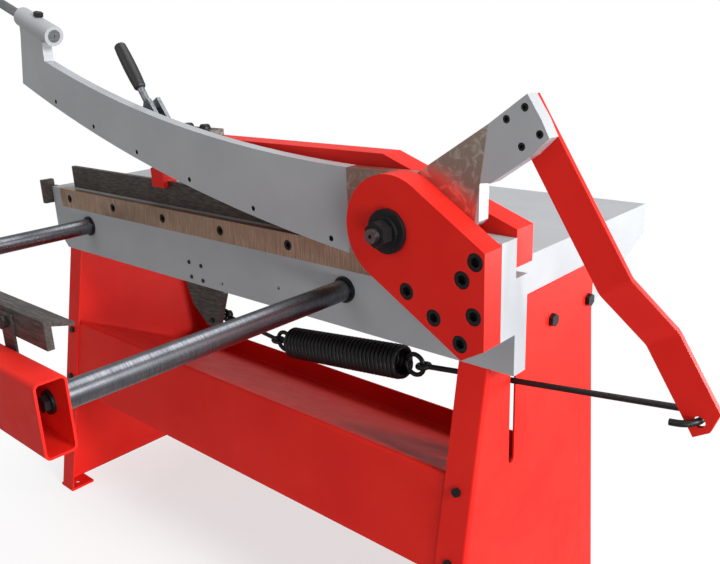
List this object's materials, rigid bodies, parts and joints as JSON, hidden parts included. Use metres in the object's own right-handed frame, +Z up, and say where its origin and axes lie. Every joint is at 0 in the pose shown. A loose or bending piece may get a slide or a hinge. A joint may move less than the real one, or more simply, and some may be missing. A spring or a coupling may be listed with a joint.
{
  "type": "lever guillotine shear",
  "caption": "Hand lever guillotine shear for sheet metal, with bed, curved blade arm, balance spring, hold-down, front gauge and folded steel stand.",
  "frame": {"origin": "centre of the four floor bolt holes, at floor level", "axes": "+X along the blades from the handle end to the pivot end, +Y from the cutting line back over the table, +Z up"},
  "size_m": [1.9175, 1.066, 1.2814],
  "materials": {
    "grey_paint": "gloss",
    "red_paint": "gloss",
    "blade_steel": "ground",
    "black_steel": "satin",
    "dark_steel": "satin",
    "turned_steel": "turned",
    "bronze": "machined",
    "black_plastic": "matte"
  },
  "bodies": {
    "frame": {"anchor_pin": "black_steel", "arm_end_guide": "dark_steel", "bed_front_plate": "grey_paint", "bracket_screws": "black_steel", "cheek_screws": "black_steel", "cheek_spacer": "grey_paint", "chute_panel": "red_paint", "clamp_bracket": "dark_steel", "clamp_bracket_bolts": "black_steel", "clamp_pin": "turned_steel", "foot_plates": "red_paint", "front_cheek": "red_paint", "guide_bolt": "black_steel", "left_leg": "red_paint", "lower_blade": "blade_steel", "lower_blade_screws": "black_steel", "panel_bolts": "black_steel", "pivot_nut": "black_steel", "pivot_shaft": "turned_steel", "pivot_washer": "black_steel", "rear_cheek": "red_paint", "rib_bolts": "black_steel", "right_leg": "red_paint", "rod_collars": "black_steel", "rod_lock_screws": "black_steel", "rod_sleeves": "dark_steel", "slotted_end_rib": "grey_paint", "spring_bracket": "dark_steel", "table_ribs": "grey_paint", "table_top": "grey_paint"},
    "arm": {"blade_arm": "grey_paint", "upper_blade": "blade_steel", "upper_blade_screws": "black_steel", "pivot_bush": "bronze", "handle_bar": "turned_steel", "handle_grip": "black_plastic", "handle_set_screw": "black_steel", "spring_lever": "red_paint", "lever_screws": "black_steel"},
    "anchor_link": {"anchor_hook": "black_steel"},
    "spring_near": {"spring_head_loop": "black_steel", "counterbalance_spring": "black_steel"},
    "spring_far": {"spring_tail_loop": "black_steel"},
    "pull_rod": {"tie_rod": "black_steel"},
    "hold_down": {"hold_down_bar": "dark_steel", "clamp_foot": "red_paint"},
    "clamp": {"clamp_lever": "dark_steel", "clamp_grip": "black_plastic"},
    "gauge": {"gauge_rods": "turned_steel", "gauge_end_bolts": "black_steel", "gauge_end_washers": "black_steel", "gauge_beam": "red_paint", "stop_rail": "dark_steel", "stop_posts": "dark_steel", "stop_post_bolts": "black_steel"}
  },
  "joints": [
    {"name": "arm_pivot", "type": "hinge", "parent": "frame", "child": "arm", "pos_m": [0.473, -0.1342, 0.796], "axis": [0, -1, 0], "range_deg": [0, 14], "stiffness_Nm_per_rad": 150, "springref_deg": -65.89},
    {"name": "anchor_link_hinge", "type": "hinge", "parent": "frame", "child": "anchor_link", "pos_m": [-0.093, -0.0682, 0.507], "axis": [0, -1, 0], "range_deg": [0, 19.4]},
    {"name": "spring_hinge", "type": "hinge", "parent": "anchor_link", "child": "spring_near", "pos_m": [0.065, -0.0682, 0.49], "axis": [0, -1, 0], "range_deg": [-12.8, 0]},
    {"name": "spring_stretch", "type": "slide", "parent": "spring_near", "child": "spring_far", "axis": [0.9937, 0, 0.1117], "range_m": [0, 0.0502]},
    {"name": "pull_rod_hinge", "type": "hinge", "parent": "arm", "child": "pull_rod", "pos_m": [0.869, -0.0682, 0.5865], "axis": [0, -1, 0], "range_deg": [-14.5, 0]},
    {"name": "clamp_cam", "type": "hinge", "parent": "frame", "child": "clamp", "pos_m": [-0.194, -0.1137, 0.904], "axis": [0, 1, 0], "range_deg": [0, 70]},
    {"name": "hold_down_lift", "type": "slide", "parent": "frame", "child": "hold_down", "axis": [0, 0, 1], "range_m": [0, 0.0056]},
    {"name": "gauge_slide", "type": "slide", "parent": "frame", "child": "gauge", "axis": [0, 1, 0], "range_m": [0, 0.25]}
  ],
  "couplings": [
    {"joint": "anchor_link_hinge", "follows": "arm_pivot", "ratio": 1.3806},
    {"joint": "spring_hinge", "follows": "arm_pivot", "ratio": -0.90819},
    {"joint": "spring_stretch", "follows": "arm_pivot", "m_per_rad": 0.20488},
    {"joint": "pull_rod_hinge", "follows": "arm_pivot", "ratio": -1.0297},
    {"joint": "hold_down_lift", "follows": "clamp_cam", "m_per_rad": 0.0045}
  ]
}
